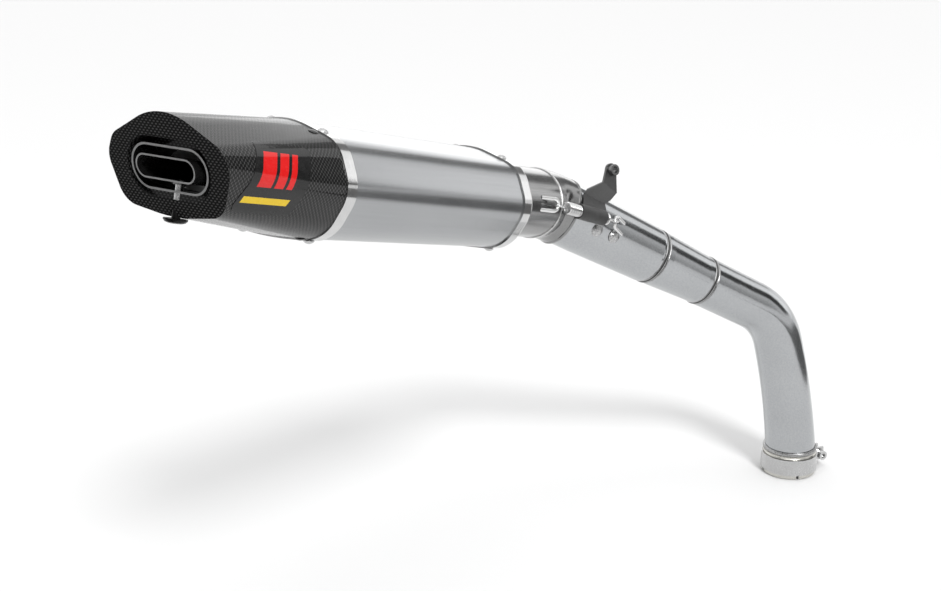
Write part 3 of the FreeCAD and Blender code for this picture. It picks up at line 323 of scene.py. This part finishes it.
def badge(name):
    """A glossy black patch with three plain slanted red bars over a yellow stripe."""
    lean = 0.37
    bars_low, bars_high = -0.0085, 0.0150
    stripe_low, stripe_high = -0.0200, -0.0155
    bars = ((-0.3395, -0.3265), (-0.3235, -0.3150), (-0.3120, -0.3065))
    stripe = (-0.3440, -0.3010)
    black, red_print, yellow_print = 0.008, (0.60, 0.006, 0.006), (0.70, 0.48, 0.010)
    material, tree, shader = new_material(name)
    set_constants(shader, Coat_Weight=0.55, Coat_Roughness=0.04, Specular_IOR_Level=0.12)
    split = tree.nodes.new("ShaderNodeSeparateXYZ")
    tree.links.new(place(tree, MUFFLER_BASE, MUFFLER_TURN), split.inputs["Vector"])
    along, _, up = split.outputs
    slanted = math_node(tree, "MULTIPLY_ADD", up, -lean, along)

    def inside(value, low, high):
        above = math_node(tree, "GREATER_THAN", value, low)
        return math_node(tree, "MULTIPLY", above, math_node(tree, "LESS_THAN", value, high))

    red = None
    for low, high in bars:
        bar = inside(slanted, low, high)
        red = bar if red is None else math_node(tree, "MAXIMUM", red, bar)
    red = math_node(tree, "MULTIPLY", red, inside(up, bars_low, bars_high))
    stripe_rows = inside(up, stripe_low, stripe_high)
    yellow = math_node(tree, "MULTIPLY", inside(slanted, *stripe), stripe_rows)
    red_code = math_node(tree, "MULTIPLY", red, 0.5)
    code = math_node(tree, "MULTIPLY_ADD", yellow, 0.9, red_code)
    print_colour = ramp(tree, code, [(0.0, black), (0.45, red_print), (0.85, yellow_print)])
    print_colour.node.color_ramp.interpolation = "CONSTANT"
    grain = noise(tree, place(tree, MUFFLER_BASE, MUFFLER_TURN, even(0.006)), 1.0, 3.0)
    tree.links.new(print_colour, shader.inputs["Base Color"])
    drive(tree, shader, "Roughness", grain, [(0.3, 0.18), (0.7, 0.32)])
    bump(tree, shader, code, 0.00004)
    return material


def wadding(name):
    """Pale glass wool, its strands lying along one axis."""
    material, tree, shader = new_material(name)
    set_constants(shader, Roughness=0.9, Sheen_Weight=0.3)
    strands = noise(tree, place(tree, ORIGIN, NO_TURN, (0.02, 0.0012, 0.0012)), 1.0, 6.0, 0.7)
    drive(tree, shader, "Base Color", strands, [(0.3, (0.50, 0.46, 0.36)), (0.7, (0.80, 0.77, 0.68))])
    bump(tree, shader, strands, 0.0012)
    return material


materials = {
    "titanium_sleeve": brushed_metal(
        "titanium_sleeve", (0.335, 0.342, 0.350), (0.400, 0.408, 0.416),
        (0.16, 0.00030, 0.00030), (0.20, 0.27), MUFFLER_BASE, MUFFLER_TURN
    ),
    "titanium_pipe": brushed_metal(
        "titanium_pipe", (0.38, 0.39, 0.40), (0.47, 0.48, 0.49), even(0.0016), (0.13, 0.19)
    ),
    "polished_band": brushed_metal(
        "polished_band", 0.52, 0.66, (0.0006, 0.006, 0.006), (0.08, 0.17),
        MUFFLER_BASE, MUFFLER_TURN
    ),
    "socket_steel": brushed_metal(
        "socket_steel", (0.50, 0.49, 0.46), (0.66, 0.65, 0.61),
        (0.006, 0.006, 0.0004), (0.20, 0.30)
    ),
    "zinc": brushed_metal("zinc", 0.42, 0.60, even(0.0012), (0.18, 0.32)),
    "spring_wire": brushed_metal("spring_wire", 0.60, 0.78, even(0.0008), (0.12, 0.22)),
    "inner_steel": brushed_metal("inner_steel", 0.30, 0.45, even(0.0015), (0.3, 0.45)),
    "bracket": brushed_metal(
        "bracket", 0.085, 0.15, even(0.0007), (0.36, 0.48), relief=0.00008
    ),
    "dark_titanium": brushed_metal(
        "dark_titanium", 0.21, 0.29, (0.04, 0.0008, 0.0008), (0.14, 0.22),
        MUFFLER_BASE, MUFFLER_TURN
    ),
    "turned_bush": brushed_metal("turned_bush", 0.14, 0.22, even(0.0005), (0.2, 0.32)),
    "carbon": woven_composite("carbon"),
    "black_tube": black_tube("black_tube"),
    "black_fastener": dark_gloss("black_fastener", 0.012, 0.03, (0.25, 0.4), 0.3),
    "rubber": rubber("rubber"),
    "badge": badge("badge"),
    "packing": wadding("packing"),
    "weld": weld_metal("weld"),
}


def node_middle(node):
    low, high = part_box(node)
    return (low + high) / 2


# axis, ripples round it and tones of each bead that runs round a tube
RING_BEADS = {
    "socket_weld": (UPRIGHT, 64, (0.25, 0.50)),
    "ring_joint_lower": (SLIP_AXIS, 0, (0.05, 0.14)),
    "ring_joint_upper": (SLIP_AXIS, 0, (0.05, 0.14)),
    "stub_weld": (MUFFLER_AXIS, 80, (0.35, 0.60)),
    "elbow_weld": (MUFFLER_AXIS, 80, (0.45, 0.70)),
}
RING_HALF_WIDTH = 0.003
# where the screw's black head ends, on the muffler's own height
SCREW_HEAD_END = -0.027

slot_of = {row["node"]: row["material_slot"] for row in frame["record"]["subparts"]}
for node, piece in frame["nodes"].items():
    material = materials[slot_of[node]]
    if node in RING_BEADS:
        axis, ripples, tones = RING_BEADS[node]
        groove = RING_HALF_WIDTH if node.startswith("ring_joint") else None
        material = weld_metal("bead_" + node, node_middle(node), axis, ripples, tones, groove)
    elif node == "insert_screw":
        material = screw_metal("insert_screw_metal", SCREW_HEAD_END)
    piece.data.materials.clear()
    piece.data.materials.append(material)


# ------------------------------------------- the spring and its rubber sleeve

def copy_of(node, name):
    """The node's shape as a piece of its own, in place of the node, which is hidden."""
    source = frame["nodes"][node]
    piece = bpy.data.objects.new(name, source.data.copy())
    bpy.context.scene.collection.objects.link(piece)
    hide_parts(node)
    return piece


stretching = (
    ("spring", "spring_coil", "spring_wire"),
    ("spring_sleeve", "sleeve_rubber", "rubber"),
)
for node, name, slot in stretching:
    piece = copy_of(node, name)
    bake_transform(piece)


# --------------------------------------------------------------------- studio

def aim(thing, at, looks):
    """Puts thing at a place, with its local -Z along looks."""
    thing.location = at
    thing.rotation_mode = "QUATERNION"
    thing.rotation_quaternion = looks.to_track_quat("-Z", "Y")


def area_light(name, at, target, size, power):
    """A rectangular soft light that points at target."""
    data = bpy.data.lights.new(name, "AREA")
    data.shape = "RECTANGLE"
    data.size, data.size_y = size
    data.energy = power
    light = bpy.data.objects.new(name, data)
    bpy.context.scene.collection.objects.link(light)
    aim(light, Vector(at), Vector(target) - Vector(at))


def plane(name, at, normal, size):
    """A flat rectangle of the studio, facing along normal."""
    bpy.ops.mesh.primitive_plane_add(size=1.0)
    thing = bpy.context.object
    thing.name = name
    thing.scale = (size[0], size[1], 1.0)
    aim(thing, Vector(at), -Vector(normal))
    return thing


camera_data = bpy.data.cameras.new("camera")
camera_data.lens = CAMERA_LENS
camera_data.sensor_width = SENSOR_WIDTH
camera_data.clip_end = VIEW_DEPTH
camera = bpy.data.objects.new("camera", camera_data)
bpy.context.scene.collection.objects.link(camera)
aim(camera, CAMERA_AT, CAMERA_LOOKS)
bpy.context.scene.camera = camera

floor = plane("floor", (0.0, 0.0, -FLOOR_DROP), UPRIGHT, (FLOOR_SIDE, FLOOR_SIDE))
floor_material, floor_tree, floor_shader = new_material("floor")
set_constants(floor_shader, Roughness=0.9, Specular_IOR_Level=0.0)
paper = noise(floor_tree, place(floor_tree, ORIGIN, NO_TURN, even(0.5)), 1.0, 2.0)
drive(floor_tree, floor_shader, "Base Color", paper, [(0.2, 0.76), (0.8, 0.78)])
floor.data.materials.append(floor_material)


def reflection_card(name, at, target, size, level):
    """A card that only reflections see, so that the curved metal shows long bands."""
    card = plane(name, at, Vector(target) - Vector(at), size)
    for ray in ("camera", "diffuse", "shadow", "transmission", "volume_scatter"):
        setattr(card, "visible_" + ray, False)
    material = bpy.data.materials.new(name)
    material.use_nodes = True
    tree = material.node_tree
    tree.nodes.remove(tree.nodes["Principled BSDF"])
    glow = tree.nodes.new("ShaderNodeEmission")
    glow.inputs["Color"].default_value = (level, level, level, 1.0)
    tree.links.new(glow.outputs["Emission"], tree.nodes["Material Output"].inputs["Surface"])
    card.data.materials.append(material)
    return card


# a point near the muffler, which most of the cards face
MUFFLER_MIDDLE = (-0.60, 0.13, 0.42)
CREASE_CARD_TURN = math.radians(-31.5)
reflection_card("dark_card_shoulder", (2.3, 0.17, 1.45), MUFFLER_MIDDLE, (0.9, 1.5), 0.24)
crease_card = reflection_card(
    "dark_card_crease", (1.1, -0.95, 0.02), (1.1, -0.95, 2.0), (2.2, 0.75), 0.17
)
reflection_card("dark_card_cap", (1.8, -1.75, 0.95), MUFFLER_MIDDLE, (1.0, 1.3), 0.05)
reflection_card("bright_card_top", (2.2, 1.45, 0.75), MUFFLER_MIDDLE, (1.5, 0.9), 1.9)
reflection_card("bright_card_side", (2.2, -1.15, 0.75), MUFFLER_MIDDLE, (0.8, 0.8), 1.55)
reflection_card("dark_card_face", (-1.75, 0.85, 0.02), (-1.75, 0.85, 2.0), (1.7, 1.7), 0.06)
crease_card.rotation_mode = "XYZ"
crease_card.rotation_euler = (0.0, 0.0, CREASE_CARD_TURN)

area_light("key", (-0.9, -0.5, 2.6), (-0.35, 0.05, 0.2), (2.2, 1.6), 16.0)
sun_data = bpy.data.lights.new("sun", "SUN")
sun_data.energy = 2.0
sun_data.angle = math.radians(14)
sun = bpy.data.objects.new("sun", sun_data)
bpy.context.scene.collection.objects.link(sun)
aim(sun, Vector((-2.0, -2.0, 3.0)), Vector((0.66, 0.85, -1.0)))

# The room: dim behind the camera, brightest beyond the object.
SKY_TONES = [(0.0, 0.22), (0.30, 0.25), (0.50, 0.62), (0.72, 1.0), (1.0, 0.75)]
BEYOND = (0.84, 0.54, 0.0)
world = bpy.data.worlds.new("studio")
bpy.context.scene.world = world
world.use_nodes = True
world_tree = world.node_tree
sky = world_tree.nodes["Background"]
direction = world_tree.nodes.new("ShaderNodeTexCoord")
beyond = world_tree.nodes.new("ShaderNodeVectorMath")
beyond.operation = "DOT_PRODUCT"
beyond.inputs[1].default_value = BEYOND
world_tree.links.new(direction.outputs["Generated"], beyond.inputs[0])
depth = math_node(world_tree, "MULTIPLY_ADD", beyond.outputs["Value"], 0.5, 0.5)
sky_colour = ramp(world_tree, depth, SKY_TONES)
world_tree.links.new(sky_colour, sky.inputs["Color"])
sky.inputs["Strength"].default_value = 1.35

bpy.context.scene.view_settings.view_transform = "Standard"
